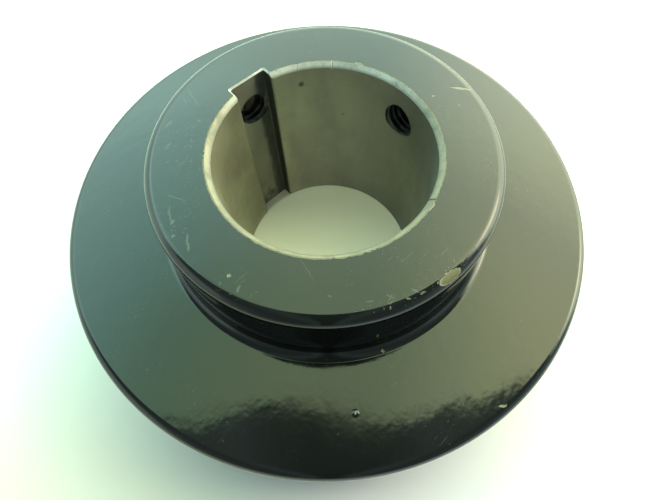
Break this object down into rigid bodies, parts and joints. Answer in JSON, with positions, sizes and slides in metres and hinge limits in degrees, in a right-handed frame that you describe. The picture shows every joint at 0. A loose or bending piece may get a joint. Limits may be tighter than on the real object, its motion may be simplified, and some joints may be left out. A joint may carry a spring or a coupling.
{
  "type": "v-belt pulley",
  "caption": "V-belt pulley with a long hub, a finished bore with a keyway, and socket set screws in tapped holes through the hub.",
  "frame": {"origin": "centre of the bore at the back face, which the pulley stands on", "axes": "+Z along the shaft axis towards the end of the long front hub, +Y towards the middle of the keyway, +X along the side set screw"},
  "size_m": [0.1244, 0.1244, 0.0508],
  "materials": {
    "body_enamel": "gloss black enamel over cast iron, bare machined metal in the bore",
    "screw_black_oxide": "black oxide on alloy steel"
  },
  "bodies": {
    "pulley": {"pulley_body": "body_enamel"},
    "side_screw": {"side_set_screw": "screw_black_oxide"},
    "keyway_screw": {"keyway_set_screw": "screw_black_oxide"}
  },
  "joints": [
    {"name": "side_screw_travel", "type": "slide", "parent": "pulley", "child": "side_screw", "axis": [-1, 0, 0], "range_m": [-0.00794, 0.00476]},
    {"name": "keyway_screw_travel", "type": "slide", "parent": "pulley", "child": "keyway_screw", "axis": [0, -1, 0], "range_m": [-0.00635, 0.00317]}
  ]
}
